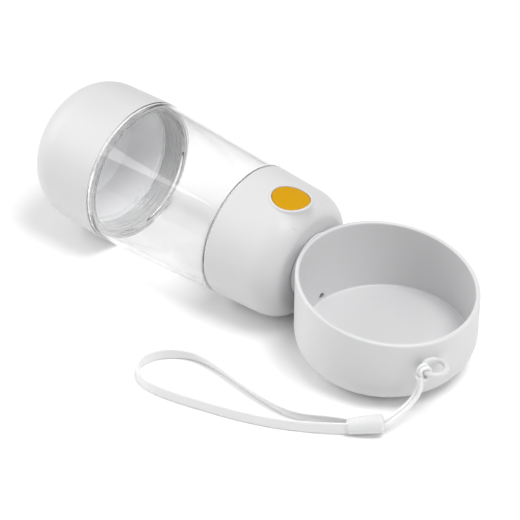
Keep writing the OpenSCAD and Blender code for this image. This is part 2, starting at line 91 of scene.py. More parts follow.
# %% Lay out the bottle's axis
TANK_BASE_R, TANK_HEAD_R = 36.3, 32.3
TANK_LENGTH, HEAD_LENGTH, CAP_LENGTH = 69.0, 35.5, 45.0
SLOPE = (TANK_BASE_R - TANK_HEAD_R) / TANK_LENGTH
LEAN = math.atan(SLOPE)
FACE_R = TANK_HEAD_R - HEAD_LENGTH * SLOPE
AXIS_Z = FACE_R * math.cos(LEAN)
FACE_X = -41.4
HEAD_RIM = -HEAD_LENGTH
CAP_RIM = HEAD_RIM - TANK_LENGTH
CAP_END = CAP_RIM - CAP_LENGTH

bottle_axes = Matrix((
    (math.sin(LEAN), 0, math.cos(LEAN)),
    (0, -1, 0),
    (math.cos(LEAN), 0, -math.sin(LEAN)),
))
LAY_DOWN = Matrix.Translation((FACE_X, 0, AXIS_Z)) @ bottle_axes.to_4x4()
STAY = Matrix.Identity(4)
print("the bottle leans by", round(math.degrees(LEAN), 2), "degrees")
print("its axis is", round(AXIS_Z, 2), "mm up at the face")


def cone_r(s):
    """Radius of the bottle's cone at a place along its axis."""
    return FACE_R - s * SLOPE


# %% [markdown]
# ## Tools for shaping
#
# Most of this object is turned or moulded, so two ways of making a mesh cover nearly all of it.
# `turned` spins a profile round Z. `lofted` starts from a circle, extrudes its edge loop ring by ring
# and then moves each ring to its place, which suits collars, fillets, cords and straps. Both leave even
# rows of faces that shade smoothly.

# %% Turn a profile
def rounded(corners, steps=6, support=0.5):
    """A profile whose corners, given as (r, z, radius), are rounded by arcs. Extra points close to each
    arc keep the long straight stretches flat when they are shaded."""
    points = []
    count = len(corners)
    for i, (r, z, radius) in enumerate(corners):
        here = Vector((r, z))
        before, after = Vector(corners[i - 1][:2]), Vector(corners[(i + 1) % count][:2])
        to_before, to_after = (before - here).normalized(), (after - here).normalized()
        half = to_before.angle(to_after) / 2
        if radius == 0 or half > 1.55:
            points.append(here)
            continue
        reach = radius / math.tan(half)
        centre = here + (to_before + to_after).normalized() * (radius / math.sin(half))
        start, end = here + to_before * reach - centre, here + to_after * reach - centre
        if (before - here).length > reach + 2 * support:
            points.append(here + to_before * (reach + support))
        turn_angle = start.angle_signed(end)
        for k in range(steps + 1):
            a = -turn_angle * k / steps
            points.append(centre + Vector((start.x * math.cos(a) - start.y * math.sin(a),
                                           start.x * math.sin(a) + start.y * math.cos(a))))
        if (after - here).length > reach + 2 * support:
            points.append(here + to_after * (reach + support))
    return [(max(p.x, 0.0), p.y) for p in points]


def turned(profile, steps=160, closed=True):
    """A mesh made by spinning a profile of (r, z) points all the way round Z."""
    bm = bmesh.new()
    verts = [bm.verts.new((r, 0, z)) for r, z in profile]
    pairs = list(zip(verts, verts[1:] + verts[:1])) if closed else list(zip(verts, verts[1:]))
    edges = [bm.edges.new(pair) for pair in pairs]
    bmesh.ops.spin(bm, geom=verts + edges, cent=(0, 0, 0), axis=(0, 0, 1), angle=math.tau, steps=steps,
                   use_merge=True, use_duplicate=False)
    bmesh.ops.remove_doubles(bm, verts=bm.verts[:], dist=1e-4)
    bmesh.ops.dissolve_degenerate(bm, dist=1e-5, edges=bm.edges[:])
    bmesh.ops.recalc_face_normals(bm, faces=bm.faces[:])
    return bm


# %% Loft through rings
def lofted(rings, closed=False, uv_round=None):
    """A mesh through rings of points. It is extruded from a circle, one ring at a time, as a plain stack,
    and then each point is moved to its ring. A ring has a multiple of four points, because the circle
    starts a quarter of a turn on. The last ring is joined to the first if closed, and otherwise both
    ends are filled. uv_round, a length in mm, adds a UV map along and round the piece."""
    count, sides = len(rings), len(rings[0])
    bm = bmesh.new()
    bmesh.ops.create_circle(bm, segments=sides, radius=1)
    loop = bm.edges[:]
    for k in range(1, count):
        grown = bmesh.ops.extrude_edge_only(bm, edges=loop)["geom"]
        new_verts = [g for g in grown if isinstance(g, bmesh.types.BMVert)]
        new_edges = [g for g in grown if isinstance(g, bmesh.types.BMEdge)]
        loop = [edge for edge in new_edges if all(v in new_verts for v in edge.verts)]
        for vert in new_verts:
            vert.co.z = k
    layer = bm.verts.layers.int.new("ring")
    side_layer = bm.verts.layers.int.new("side")
    for vert in bm.verts:
        vert[layer] = round(vert.co.z)
        vert[side_layer] = round(math.atan2(vert.co.y, vert.co.x) / math.tau * sides) % sides
    if uv_round:
        along = [0.0]
        middles = [sum(ring, Vector()) / sides for ring in rings]
        for a, b in zip(middles, middles[1:]):
            along.append(along[-1] + (b - a).length)
        uv = bm.loops.layers.uv.new("along")
        for face in bm.faces:
            wraps = {v[side_layer] for v in face.verts} == {0, sides - 1}
            for corner in face.loops:
                side = corner.vert[side_layer]
                side = sides if wraps and side == 0 else side
                corner[uv].uv = (along[corner.vert[layer]], side / sides * uv_round)
    for vert in bm.verts:
        vert.co = rings[vert[layer]][vert[side_layer]]
    ends = [e for e in bm.edges if e.is_boundary]
    if closed:
        bmesh.ops.bridge_loops(bm, edges=ends)
    else:
        bmesh.ops.holes_fill(bm, edges=ends, sides=0)
    bmesh.ops.recalc_face_normals(bm, faces=bm.faces[:])
    return bm


# %% Finish a piece
def finish_piece(name, bm, material, lay=STAY, crease=35):
    """Moves a mesh in mm to its place in metres, shades it smooth except across sharp creases, and gives
    it its material. The object itself stays at the origin."""
    bmesh.ops.transform(bm, matrix=Matrix.Scale(MM, 4) @ lay, verts=bm.verts[:])
    mesh = bpy.data.meshes.new(name)
    bm.to_mesh(mesh)
    bm.free()
    mesh.polygons.foreach_set("use_smooth", [True] * len(mesh.polygons))
    mesh.set_sharp_from_angle(angle=math.radians(crease))
    mesh.materials.append(material)
    piece = bpy.data.objects.new(name, mesh)
    bpy.context.collection.objects.link(piece)
    print(name, "has", len(mesh.polygons), "faces")
    return piece


def cut(piece, cutter_mesh, lay=STAY):
    """Takes a shape out of a piece for good."""
    cutter = finish_piece(piece.name + "_cutter", cutter_mesh, piece.data.materials[0], lay)
    boolean = piece.modifiers.new("cut", "BOOLEAN")
    boolean.operation = "DIFFERENCE"
    boolean.solver = "EXACT"
    boolean.object = cutter
    depsgraph = bpy.context.evaluated_depsgraph_get()
    result = bpy.data.meshes.new_from_object(piece.evaluated_get(depsgraph))
    piece.modifiers.clear()
    old = piece.data
    piece.data = result
    bpy.data.meshes.remove(old)
    bpy.data.objects.remove(cutter)
    piece.data.set_sharp_from_angle(angle=math.radians(35))
    print(piece.name, "has", len(piece.data.polygons), "faces after the cut")


def rod_mesh(radius, low, high, sides=64):
    """A plain capped cylinder along Z, for cutting holes."""
    bm = bmesh.new()
    bmesh.ops.create_cone(bm, cap_ends=True, segments=sides, radius1=radius, radius2=radius,
                          depth=high - low, matrix=Matrix.Translation((0, 0, (low + high) / 2)))
    return bm


# %% [markdown]
# ## Tools for finishes
#
# Every finish is a node tree of its own round one Principled shader. Colours are written as the sRGB
# values that the eye sees and turned to the linear values that light works with.

# %% Colours and nodes
def linear(hex_value):
    """An sRGB colour, written as 0xRRGGBB, as linear RGBA."""
    channels = [(hex_value >> shift & 255) / 255 for shift in (16, 8, 0)]
    return [c / 12.92 if c <= 0.04045 else ((c + 0.055) / 1.055) ** 2.4 for c in channels] + [1.0]


def add_node(material, kind, settings=None, links=None):
    """Adds a node to a material, sets its values and joins its inputs."""
    node = material.node_tree.nodes.new(kind)
    for key, value in (settings or {}).items():
        if isinstance(key, int) or key in node.inputs:
            node.inputs[key].default_value = value
        else:
            setattr(node, key, value)
    for key, source in (links or {}).items():
        material.node_tree.links.new(source, node.inputs[key])
    return node


def start_finish(name, settings):
    """A new material with one Principled shader, whose sockets take the values that are the same
    all over."""
    material = bpy.data.materials.new(name)
    material.use_nodes = True
    material.node_tree.nodes.clear()
    shader = add_node(material, "ShaderNodeBsdfPrincipled", settings)
    add_node(material, "ShaderNodeOutputMaterial", links={"Surface": shader.outputs["BSDF"]})
    return material, shader


def join(material, source, node, socket):
    """Joins an output to an input of another node."""
    material.node_tree.links.new(source, node.inputs[socket])


def noise(material, spot_mm, detail, roughness=0.5):
    """A cloudy pattern on the object, with spots about spot_mm wide."""
    place = add_node(material, "ShaderNodeTexCoord").outputs["Object"]
    settings = {"Scale": 1 / (spot_mm * MM), "Detail": detail, "Roughness": roughness}
    return add_node(material, "ShaderNodeTexNoise", settings, {"Vector": place}).outputs["Fac"]


def two_tones(material, shader, pattern, first, second):
    """The base colour goes from one linear colour to another with a pattern."""
    tone = add_node(material, "ShaderNodeMix", {"data_type": "RGBA"}, {"Factor": pattern})
    tone.inputs[6].default_value = first
    tone.inputs[7].default_value = second
    join(material, tone.outputs[2], shader, "Base Color")


def uneven_gloss(material, shader, pattern, low, high):
    """The roughness goes from low to high with a pattern."""
    gloss = add_node(material, "ShaderNodeMapRange", {"To Min": low, "To Max": high}, {"Value": pattern})
    join(material, gloss.outputs["Result"], shader, "Roughness")


def relief(material, shader, pattern, height_mm, strength):
    """The surface rises and falls with a pattern, by about height_mm."""
    settings = {"Strength": strength, "Distance": height_mm * MM}
    bump = add_node(material, "ShaderNodeBump", settings, {"Height": pattern})
    join(material, bump.outputs["Normal"], shader, "Normal")


def darker(colour, share):
    """A linear colour with only a share of its light."""
    return [c * share for c in colour[:3]] + [1.0]


# %% [markdown]
# ## Moulded plastic
#
# The head, the cap and the bowl are moulded in a pale grey-white plastic, ABS or polypropylene, from a
# mould with a fine satin texture. It shows as a very fine grain that breaks up reflections, with a
# slight change of tone over a few centimetres where the wall thickness changes. The grain of a real
# mould is about 0.1 mm, which is finer than a pixel here, so it is drawn at 0.35 mm. The button is amber
# ABS with a duller surface, and the bead is glossier than the rest. The valve is natural, slightly milky
# polypropylene, and the cup inside the cap is bright white.

# %% Make the moulded plastics
CLOUD_MM, GRAIN_MM = 30, 0.35


def moulded_plastic(name, shade, roughness, grain_height_mm=0.004, tone=0.02, shine=0.5):
    """A plastic with a fine moulded grain, whose tone drifts a little from place to place."""
    material, shader = start_finish(name, {"IOR": 1.49, "Specular IOR Level": shine})
    cloud = noise(material, CLOUD_MM, 3.0)
    two_tones(material, shader, cloud, linear(shade), darker(linear(shade), 1 - tone * 2))
    grain = noise(material, GRAIN_MM, 2.0, roughness=0.6)
    uneven_gloss(material, shader, grain, roughness - 0.05, roughness + 0.06)
    relief(material, shader, grain, grain_height_mm, 0.5)
    return material


satin_white_abs = moulded_plastic("satin_white_abs", 0xD1D1D2, 0.42)
satin_bowl_polypropylene = moulded_plastic("satin_bowl_polypropylene", 0xD4D4D5, 0.40)
amber_button_abs = moulded_plastic("amber_button_abs", 0xC79309, 0.55, tone=0.03, shine=0.1)
glossy_slider_polypropylene = moulded_plastic("glossy_slider_polypropylene", 0xDADADB, 0.28,
                                              grain_height_mm=0.002)
natural_valve_polypropylene = moulded_plastic("natural_valve_polypropylene", 0xE4E6E8, 0.38)
white_liner_polypropylene = moulded_plastic("white_liner_polypropylene", 0xF4F4F5, 0.36)

# %% [markdown]
# ## Clear tank, seals and springs
#
# The tank is clear copolyester: smooth, a little softer in its edges than glass, and nearly without
# colour. Its wall is a real wall with two surfaces, so light bends in it. The index is set lower than
# the real 1.57, which keeps the necks as pale as they are in a bright studio. Faint ripples from the
# mould stop the reflections from being ruler straight. A path tracer doesn't find the light that passes
# through such a wall by itself, so for shadows and for scattered light the wall lets nearly all of it
# through, and less where it is seen edge on.
#
# The seals are milky silicone with a dull bloom. The spring, the screen, the screws and the clip are
# stainless steel, a bare metal whose gloss is a little uneven from drawing and pressing.

# %% Make the clear copolyester
clear_copolyester, tank_shader = start_finish("clear_copolyester", {
    "IOR": 1.42, "Transmission Weight": 1.0, "Roughness": 0.02, "Base Color": linear(0xFCFCFC),
})
ripple = noise(clear_copolyester, 18, 1.0)
relief(clear_copolyester, tank_shader, ripple, 0.12, 0.25)
tank_rays = add_node(clear_copolyester, "ShaderNodeLightPath")
tank_slant = add_node(clear_copolyester, "ShaderNodeLayerWeight", {"Blend": 0.5})
tank_edge = add_node(clear_copolyester, "ShaderNodeMath", {"operation": "POWER", 1: 3.0},
                     {0: tank_slant.outputs["Facing"]})
tank_block = add_node(clear_copolyester, "ShaderNodeMapRange", {"To Min": 0.03, "To Max": 0.7},
                      {"Value": tank_edge.outputs[0]})
tank_soft = add_node(clear_copolyester, "ShaderNodeMath", {"operation": "MAXIMUM"},
                     {0: tank_rays.outputs["Is Shadow Ray"], 1: tank_rays.outputs["Is Diffuse Ray"]})
tank_alpha = add_node(clear_copolyester, "ShaderNodeMix", {"data_type": "FLOAT"},
                      {0: tank_soft.outputs[0], 3: tank_block.outputs["Result"]})
tank_alpha.inputs[2].default_value = 1.0
join(clear_copolyester, tank_alpha.outputs[0], tank_shader, "Alpha")

# %% Make the silicone and the steel
milky_silicone, silicone_shader = start_finish("milky_silicone", {"IOR": 1.41, "Sheen Weight": 0.15})
bloom = noise(milky_silicone, 2, 4.0)
two_tones(milky_silicone, silicone_shader, bloom, linear(0xE6E7E8), linear(0xD8D9DB))
uneven_gloss(milky_silicone, silicone_shader, bloom, 0.45, 0.62)

stainless_steel, steel_shader = start_finish("stainless_steel", {"Metallic": 1.0})
drawn = noise(stainless_steel, 0.6, 3.0)
two_tones(stainless_steel, steel_shader, drawn, linear(0xC9CACD), linear(0xB4B6BA))
uneven_gloss(stainless_steel, steel_shader, drawn, 0.22, 0.34)

# %% [markdown]
# ## Woven strap and braided cord
#
# Both are white polyester. Their pattern follows the piece, so it reads the UV map that `lofted`
# writes, in millimetres along and round the piece. The strap is a narrow plain weave with a rib about
# every 0.8 mm. The cord is a round braid, whose strands cross in small diamonds about 1 mm long.

# %% Make the textiles
def polyester(name, shade, along_mm, across_mm, height_mm, crossed):
    """A textile of threads along_mm and across_mm apart: crossed for a braid, straight for a weave."""
    material, shader = start_finish(name, {
        "IOR": 1.5, "Roughness": 0.75, "Sheen Weight": 0.35, "Sheen Roughness": 0.4,
        "Subsurface Weight": 0.4, "Subsurface Scale": 0.002, "Subsurface Radius": (1.0, 1.0, 1.0),
    })

    def calculate(operation, *values):
        """A Math node, whose inputs are numbers or the outputs of other nodes."""
        numbers = {i: v for i, v in enumerate(values) if isinstance(v, float)}
        sources = {i: v for i, v in enumerate(values) if not isinstance(v, float)}
        node = add_node(material, "ShaderNodeMath", {"operation": operation, **numbers}, sources)
        return node.outputs[0]

    thread = add_node(material, "ShaderNodeUVMap", {"uv_map": "along"}).outputs["UV"]
    parts = add_node(material, "ShaderNodeSeparateXYZ", links={"Vector": thread})
    along = calculate("DIVIDE", parts.outputs["X"], along_mm)
    across = calculate("DIVIDE", parts.outputs["Y"], across_mm)
    phases = (along, across)
    if crossed:
        phases = (calculate("ADD", along, across), calculate("SUBTRACT", along, across))
    waves = [calculate("SINE", calculate("MULTIPLY", phase, math.tau)) for phase in phases]
    weave = calculate("MULTIPLY", *waves)
    level = add_node(material, "ShaderNodeMapRange", {"From Min": -1.0, "From Max": 1.0},
                     {"Value": weave}).outputs["Result"]
    # Painted shade: the base colour is darker in the hollows between the threads, where the relief is low.
    two_tones(material, shader, level, darker(linear(shade), 0.86), linear(shade))
    fuzz = add_node(material, "ShaderNodeTexNoise", {"Scale": 6.0, "Detail": 3.0}, {"Vector": thread})
    relief(material, shader, calculate("MULTIPLY_ADD", fuzz.outputs["Fac"], 0.25, level), height_mm, 0.7)
    return material


woven_strap_polyester = polyester("woven_strap_polyester", 0xEAEAEA, 0.8, 0.9, 0.08, crossed=False)
braided_cord_polyester = polyester("braided_cord_polyester", 0xECECEC, 1.1, 1.78, 0.10, crossed=True)

# %% [markdown]
# ## The lanyard's route
#
# The strap is one loop of flat webbing that lies on its edge on the ground. Its two ends go into a
# bead, and a thin cord goes from the bead's other end to the eyelet on the bowl, doubled, where it is
# hitched round the eyelet. The points are those of the CAD model, so each piece lies where its solid
# does.

# %% Smooth a route
def smooth_route(points, step):
    """Points close together on a smooth curve through the given points."""
    points = [Vector(p) for p in points]
    line = [points[0] * 2 - points[1]] + points + [points[-1] * 2 - points[-2]]
    out = []
    for a, b, c, d in zip(line, line[1:], line[2:], line[3:]):
        parts = max(2, math.ceil((c - b).length / step))
        for k in range(parts):
            t = k / parts
            out.append(0.5 * (2 * b + (c - a) * t + (2 * a - 5 * b + 4 * c - d) * t * t
                              + (3 * b - a - 3 * c + d) * t ** 3))
    return out + [points[-1]]


def route_length(points):
    """Length of the line through the points."""
    return sum((b - a).length for a, b in zip(points, points[1:]))


def along_route(points):
    """The direction of travel at each point."""
    last = len(points) - 1
    return [(points[min(i + 1, last)] - points[max(i - 1, 0)]).normalized() for i in range(last + 1)]


# %% Sweep a flat strap
STRAP_WIDTH, STRAP_THICK = 5.5, 1.1
POWER_ACROSS, POWER_UP = 0.5, 0.35
strap_points = [
    (17.6, -50.9, 3.9), (10, -54, 3.5), (3.3, -57.2, 3.1), (-3, -59.6, 2.9), (-10, -60.7, 2.9),
    (-22.5, -60.3, 2.9), (-36, -58.7, 2.9), (-47, -57.2, 2.9), (-58, -56.9, 2.9), (-65, -58.6, 2.9),
    (-71, -62.3, 2.9), (-75.6, -67.4, 2.9), (-77.6, -73, 2.9), (-76.6, -78.2, 2.9), (-73, -82.2, 2.9),
    (-67.6, -84.4, 2.9), (-60, -84.5, 2.9), (-49, -82.5, 2.9), (-38.7, -79.8, 2.9), (-28.7, -77, 2.9),
    (-20.8, -74.5, 2.9), (-12.8, -71.5, 2.9), (-4.5, -67.7, 2.9), (3.8, -63.3, 3.1), (11.6, -58.7, 3.5),
    (19.4, -53.5, 3.9),
]
strap_line = smooth_route(strap_points, 0.8)
MOST_LEAN, MOST_LEAN_AT, LEAN_SPREAD = 26, 0.24, 0.17


def strap_lean(t):
    """How far the strap's top edge leans inwards, in degrees, from its start at 0 to its end at 1."""
    return MOST_LEAN * math.exp(-((t - MOST_LEAN_AT) / LEAN_SPREAD) ** 2)


def flat_section(width, thick, sides=24):
    """A flat band with rounded edges, as points across and up. Smaller powers make it squarer."""
    points = []
    for k in range(sides):
        a = math.tau * k / sides
        c, s = math.cos(a), math.sin(a)
        points.append((math.copysign(abs(c) ** POWER_ACROSS, c) * thick / 2,
                       math.copysign(abs(s) ** POWER_UP, s) * width / 2))
    return points


section = flat_section(STRAP_WIDTH, STRAP_THICK)
strap_rings = []
for i, (point, ahead) in enumerate(zip(strap_line, along_route(strap_line))):
    level = Vector((0, 0, 1)).cross(ahead).normalized()
    up = ahead.cross(level)
    lean = -math.radians(strap_lean(i / (len(strap_line) - 1)))
    side = level * math.cos(lean) + up * math.sin(lean)
    rise = up * math.cos(lean) - level * math.sin(lean)
    drop = Vector((0, 0, -0.5 * STRAP_WIDTH * (1 - math.cos(lean))))
    strap_rings.append([point + drop + side * a + rise * b for a, b in section])
strap_mesh = lofted(strap_rings, uv_round=2 * (STRAP_WIDTH + STRAP_THICK))
strap = finish_piece("wrist_strap", strap_mesh, woven_strap_polyester)
print("the strap's loop is", round(route_length(strap_line)), "mm long")

# %% [markdown]
# ## The cord, its hitch and the bead
#
# The cord is soft and only 1.7 mm thick. Its two strands lie side by side from the bead to the eyelet.
# There the cord's bight goes round the bar and back over both strands: a cow hitch, which tightens when
# it is pulled.

# %% Sweep a round cord
CORD = 1.7
cord_middle = [
    (25.9, -47, 5.2), (28.4, -45.2, 5.5), (30.5, -43.4, 5.9), (31.6, -41.4, 6.6), (32.6, -39.2, 7.7),
    (33.9, -36.4, 9.3), (35.2, -33.5, 11.2), (36.3, -30.9, 13.9), (37, -29.3, 16.6), (37.3, -28.5, 19.5),
    (37.2, -28.1, 22.2), (36.6, -27.4, 24.5),
]
whole = Vector(cord_middle[-1]) - Vector(cord_middle[0])
cord_side = Vector((-whole.y, whole.x, 0)).normalized()


def round_rings(points, radius, sides=16, first=Vector((0, 0, 1))):
    """Rings for a round cord. Each ring is turned as little as possible from the one before."""
    rings, normal = [], first
    for point, ahead in zip(points, along_route(points)):
        normal = (normal - ahead * normal.dot(ahead)).normalized()
        other = ahead.cross(normal)
        turns = [math.tau * k / sides for k in range(sides)]
        rings.append([point + (normal * math.cos(t) + other * math.sin(t)) * radius for t in turns])
    return rings


CORD_SHIFT = 1.0
cords = {}
for name, shift in (("upper", CORD_SHIFT), ("lower", -CORD_SHIFT)):
    line = smooth_route([Vector(p) + cord_side * shift for p in cord_middle], 0.4)
    cord_mesh = lofted(round_rings(line, CORD / 2), uv_round=math.pi * CORD)
    cord = finish_piece("cord_" + name, cord_mesh, braided_cord_polyester)
    cords[name] = (cord, line)
    print("cord", name, "is", round(route_length(line), 1), "mm long")

# %% Tie the hitch round the eyelet
EYELET_TURN, EYELET_Z = math.radians(-28.5), 26.3
EYELET_RING, EYELET_BAR, EYELET_SINK = 4.9, 1.2, 0.1
RIM_R, FLARE, BOWL_HEIGHT = 40.0, 0.6, 40.0
EYELET_MID = RIM_R + FLARE * (BOWL_HEIGHT - EYELET_Z) / BOWL_HEIGHT - EYELET_SINK + EYELET_RING
HITCH_TURN = math.radians(-90)
outward = Vector((math.cos(EYELET_TURN), math.sin(EYELET_TURN), 0))
sideways = Vector((-outward.y, outward.x, 0))
bar_out = outward * math.cos(HITCH_TURN) + sideways * math.sin(HITCH_TURN)
bar_along = Vector((0, 0, 1)).cross(bar_out)
hitch_centre = outward * EYELET_MID + Vector((0, 0, EYELET_Z)) + bar_out * EYELET_RING

# angle round the bar in degrees, distance from the bar's middle, place along the bar
hitch_turns = [
    (-95, 2.5, 0.95), (-60, 2.15, 0.9), (-20, 2.1, 0.9), (25, 2.1, 0.92), (70, 2.1, 1.0),
    (115, 2.1, 1.1), (160, 2.1, 1.25), (205, 2.15, 1.45), (240, 2.4, 1.75), (268, 2.9, 2.0),
    (290, 3.45, 1.9), (308, 3.85, 1.2), (315, 4.0, 0),
]
hitch_points = []
for angle, away, along in hitch_turns + [(a, d, -w) for a, d, w in reversed(hitch_turns[:-1])]:
    level = bar_out * (away * math.cos(math.radians(angle)))
    rise = Vector((0, 0, away * math.sin(math.radians(angle))))
    hitch_points.append(hitch_centre + level + rise + bar_along * along)
PULLED_TIGHT = 0.96
hitch_line = smooth_route(hitch_points, 0.35)
hitch_rings = round_rings(hitch_line, CORD / 2 * PULLED_TIGHT, first=bar_along)
hitch = finish_piece("cord_hitch", lofted(hitch_rings, uv_round=math.pi * CORD), braided_cord_polyester)

# %% Turn the bead
SLIDER_LENGTH, SLIDER_R, SLIDER_NARROW = 16.0, 4.0, 0.6
SLIDER_TURN, SLIDER_TILT = math.radians(35.4), math.radians(10)
slider_profile = rounded([
    (0, 0, 0), (SLIDER_R, 0, 1.7), (SLIDER_R, SLIDER_LENGTH * 0.4, 20),
    (SLIDER_R - SLIDER_NARROW, SLIDER_LENGTH, 1.9), (0, SLIDER_LENGTH, 0),
], steps=10)
slider_ahead = Vector((-math.cos(SLIDER_TURN) * math.cos(SLIDER_TILT),
                       -math.sin(SLIDER_TURN) * math.cos(SLIDER_TILT),
                       -math.sin(SLIDER_TILT)))
slider_side = Vector((0, 0, 1)).cross(slider_ahead).normalized()
slider_axes = Matrix((slider_side, slider_ahead.cross(slider_side), slider_ahead)).transposed()
slider_lift = SLIDER_R - SLIDER_NARROW + SLIDER_LENGTH * math.sin(SLIDER_TILT)
slider_lay = Matrix.Translation((30.7, -43.5, slider_lift)) @ slider_axes.to_4x4()
slider_mesh = turned(slider_profile, steps=64)
slider = finish_piece("strap_bead", slider_mesh, glossy_slider_polypropylene, slider_lay)

# %% [markdown]
# ## The base cap
#
# The cap is one turned moulding: a slightly tapering side, a large corner radius and a small flat end
# that the bottle can stand on. A 0.35 mm radius at the open rim catches the light as a thin line.

# %% Turn the cap
CAP_TAPER, CAP_CORNER, CAP_WALL, CAP_SKIRT_R, CAP_GAP = 1.2, 19.5, 2.2, 33.2, 0.15
CAP_NECK_LENGTH, GASKET_THICK = 10, 1.5
cap_side_end = TANK_BASE_R - CAP_TAPER
CAP_OPEN_END = CAP_RIM - CAP_GAP
LINER_TOP = CAP_RIM - CAP_NECK_LENGTH - CAP_GAP - GASKET_THICK
cap_profile = rounded([
    (0, CAP_END, 0), (cap_side_end, CAP_END, CAP_CORNER), (TANK_BASE_R, CAP_OPEN_END, 0.35),
    (CAP_SKIRT_R, CAP_OPEN_END, 0.2), (CAP_SKIRT_R, LINER_TOP, 0.1),
    (cap_side_end - CAP_WALL, CAP_END + CAP_WALL, CAP_CORNER - CAP_WALL), (0, CAP_END + CAP_WALL, 0),
], steps=20)
cap = finish_piece("base_cap_shell", turned(cap_profile, closed=False), satin_white_abs, LAY_DOWN)

# %% [markdown]
# ## The clear tank
#
# The tank has a shoulder and a neck at each end. Its walls have two surfaces, because a single surface
# with a glass shader would bend light as a solid block does. The lower neck carries the thread, drawn
# as low rings.

# %% Turn the tank
TANK_WALL, NECK_WALL, SHOULDER = 2.2, 2.1, 2.0
HEAD_NECK_R, HEAD_NECK_END = TANK_HEAD_R - 3, HEAD_RIM + 7
CAP_NECK_R, CAP_NECK_END = TANK_BASE_R - 3.5, CAP_RIM - CAP_NECK_LENGTH
THREAD_R, THREAD_PITCH = CAP_NECK_R + 0.25, 2.6
THREAD_FIRST, THREAD_WIDE, THREAD_FLANK = 1.4, 1.0, 0.3
thread_turns = []
for k in range(3):
    top = CAP_RIM - THREAD_FIRST - THREAD_PITCH * k
    thread_turns += [(CAP_NECK_R, top + THREAD_FLANK, 0), (THREAD_R, top, 0.1),
                     (THREAD_R, top - THREAD_WIDE, 0.1),
                     (CAP_NECK_R, top - (THREAD_WIDE + THREAD_FLANK), 0)]
tank_profile = rounded([
    (HEAD_NECK_R, HEAD_NECK_END, 0.3), (HEAD_NECK_R, HEAD_RIM, 0.2), (TANK_HEAD_R, HEAD_RIM, 0.3),
    (TANK_BASE_R, CAP_RIM, 0.3), (CAP_NECK_R, CAP_RIM, 0.2),
    *thread_turns,
    (CAP_NECK_R, CAP_NECK_END, 0.3),
    (CAP_NECK_R - NECK_WALL, CAP_NECK_END, 0.3), (CAP_NECK_R - NECK_WALL, CAP_RIM + SHOULDER, 1.0),
    (TANK_BASE_R - TANK_WALL, CAP_RIM + SHOULDER, 1.5), (TANK_HEAD_R - TANK_WALL, HEAD_RIM - SHOULDER, 1.2),
    (HEAD_NECK_R - NECK_WALL, HEAD_RIM - SHOULDER, 0.8), (HEAD_NECK_R - NECK_WALL, HEAD_NECK_END, 0.3),
], steps=6)
tank = finish_piece("tank_shell", turned(tank_profile, steps=192), clear_copolyester, LAY_DOWN, crease=60)

# %% [markdown]
# ## The head
#
# The head is a turned dome with a flat end face. Its well for the button is cut out, and the collar
# round the button is lofted on top. The collar's foot has a fillet that is wide at the sides and runs
# out where the head falls away in front, as on the real moulding.

# %% Turn the head
DOME_LENGTH, DOME_DEPTH, HEAD_WALL, HEAD_GAP = 12.0, 8.5, 2.0, 0.05
SKIRT_R, PLATE_TOP, SPIGOT_R = 29.7, -24.35, 8.0


def dome(wall, steps):
    """The rounded end of the head, from its side to its end face, moved inwards by a wall."""
    points = []
    for k in range(steps + 1):
        t = math.pi / 2 * k / steps
        s = -DOME_LENGTH + (DOME_LENGTH - wall) * math.sin(t)
        points.append((cone_r(s) - wall - DOME_DEPTH * (1 - math.cos(t)), s))
    return points


HEAD_OPEN_END = HEAD_RIM + HEAD_GAP
rim = rounded([(SKIRT_R, PLATE_TOP, 0), (SKIRT_R, HEAD_OPEN_END, 0.2), (TANK_HEAD_R, HEAD_OPEN_END, 0.25),
               (cone_r(-DOME_LENGTH - 1), -DOME_LENGTH - 1, 0)], steps=5)
outside = dome(0, 32)
inside = dome(HEAD_WALL, 12)
front = [(20.5, 0.0), (SPIGOT_R + 0.5, 0.0), (SPIGOT_R + 0.1, -0.35), (SPIGOT_R + 0.1, -HEAD_WALL)]
head_mesh = turned(rim + outside + front + inside[::-1], steps=192)
head = finish_piece("head_shell_skin", head_mesh, satin_white_abs, LAY_DOWN)

# %% Cut the button's well
BUTTON_S, BUTTON_R, BUTTON_MORE, BUTTON_ROOM = -11.9, 7.7, 1.4, 0.09
COLLAR_PROUD, COLLAR_WALL = 1.1, 1.2
WELL_R, WELL_FLOOR, ABOVE_HEAD = 8.5, 12, 45
HEAD_TURN = math.radians(3.4)
COLLAR_TOP = cone_r(BUTTON_S) + COLLAR_PROUD
COLLAR_R = BUTTON_R + BUTTON_ROOM + COLLAR_WALL
STAND_BUTTON = (LAY_DOWN @ Matrix.Rotation(HEAD_TURN, 4, "Z") @ Matrix.Translation((0, 0, BUTTON_S))
                @ Matrix.Rotation(math.pi / 2, 4, "Y"))
well = rod_mesh(WELL_R, WELL_FLOOR, ABOVE_HEAD, sides=128)
bmesh.ops.scale(well, vec=((WELL_R + BUTTON_MORE) / WELL_R, 1, 1), verts=well.verts[:])
cut(head, well, STAND_BUTTON)


# %% Loft the collar
def dome_height(s, y):
    """Height of the head's outside above the bottle's axis, at a place along it and to its side."""
    if s > -DOME_LENGTH:
        rise = min(1.0, (s + DOME_LENGTH) / DOME_LENGTH)
        r = cone_r(s) - DOME_DEPTH * (1 - math.sqrt(max(0.0, 1 - rise * rise)))
    else:
        r = cone_r(s)
    return math.sqrt(max(0.0, r * r - y * y))


def over(radius, y):
    """Height of a cylinder round the bottle's axis, at a distance to the side."""
    return math.sqrt(radius * radius - y * y)


def head_top(r, c, s):
    """Height of the head's outside under a point of the collar, r away from the bore's straight middle in
    the direction (c, s)."""
    return dome_height(BUTTON_S - (r + BUTTON_MORE) * c, r * s)


